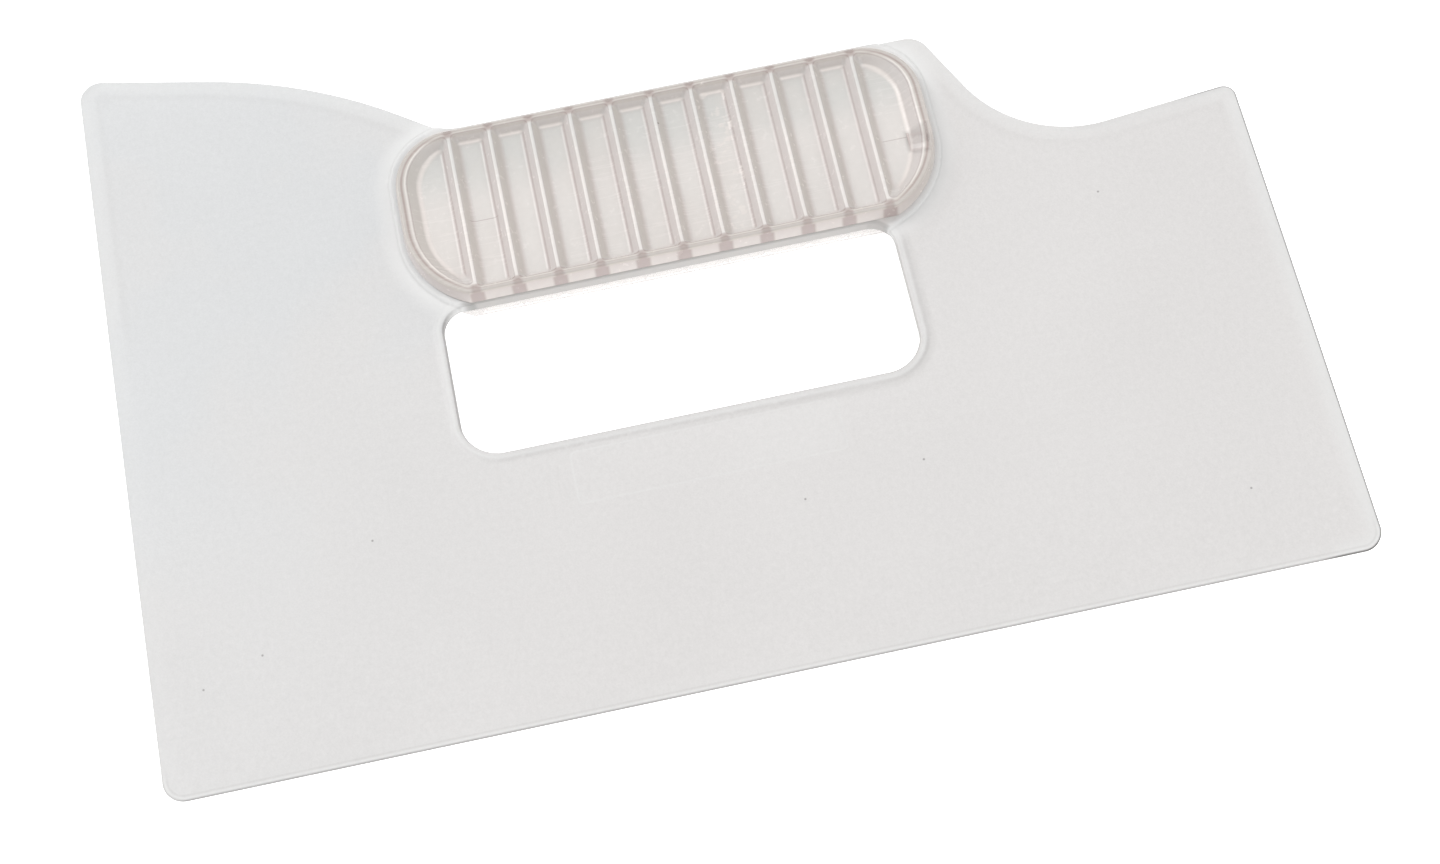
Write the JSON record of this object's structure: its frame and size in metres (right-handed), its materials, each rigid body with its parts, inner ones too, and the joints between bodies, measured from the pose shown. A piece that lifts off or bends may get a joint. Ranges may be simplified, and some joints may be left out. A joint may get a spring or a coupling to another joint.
{
  "type": "flexible putty knife",
  "caption": "Wide flexible plastic putty knife with a hand slot and a ribbed clear grip clamped on the bar above it.",
  "frame": {"origin": "middle of the tool's box in plan, on its underside", "axes": "+X along the working edge, +Y from the working edge to the grip, +Z out of the front face"},
  "size_m": [0.28, 0.19, 0.013],
  "materials": {
    "blade_plastic": "milky translucent flexible plastic, fine matte grain",
    "grip_plastic": "clear glossy plastic with a faint rosy tint"
  },
  "bodies": {
    "root": {"blade": "blade_plastic", "grip_front": "grip_plastic", "grip_rear": "grip_plastic"}
  },
  "joints": []
}
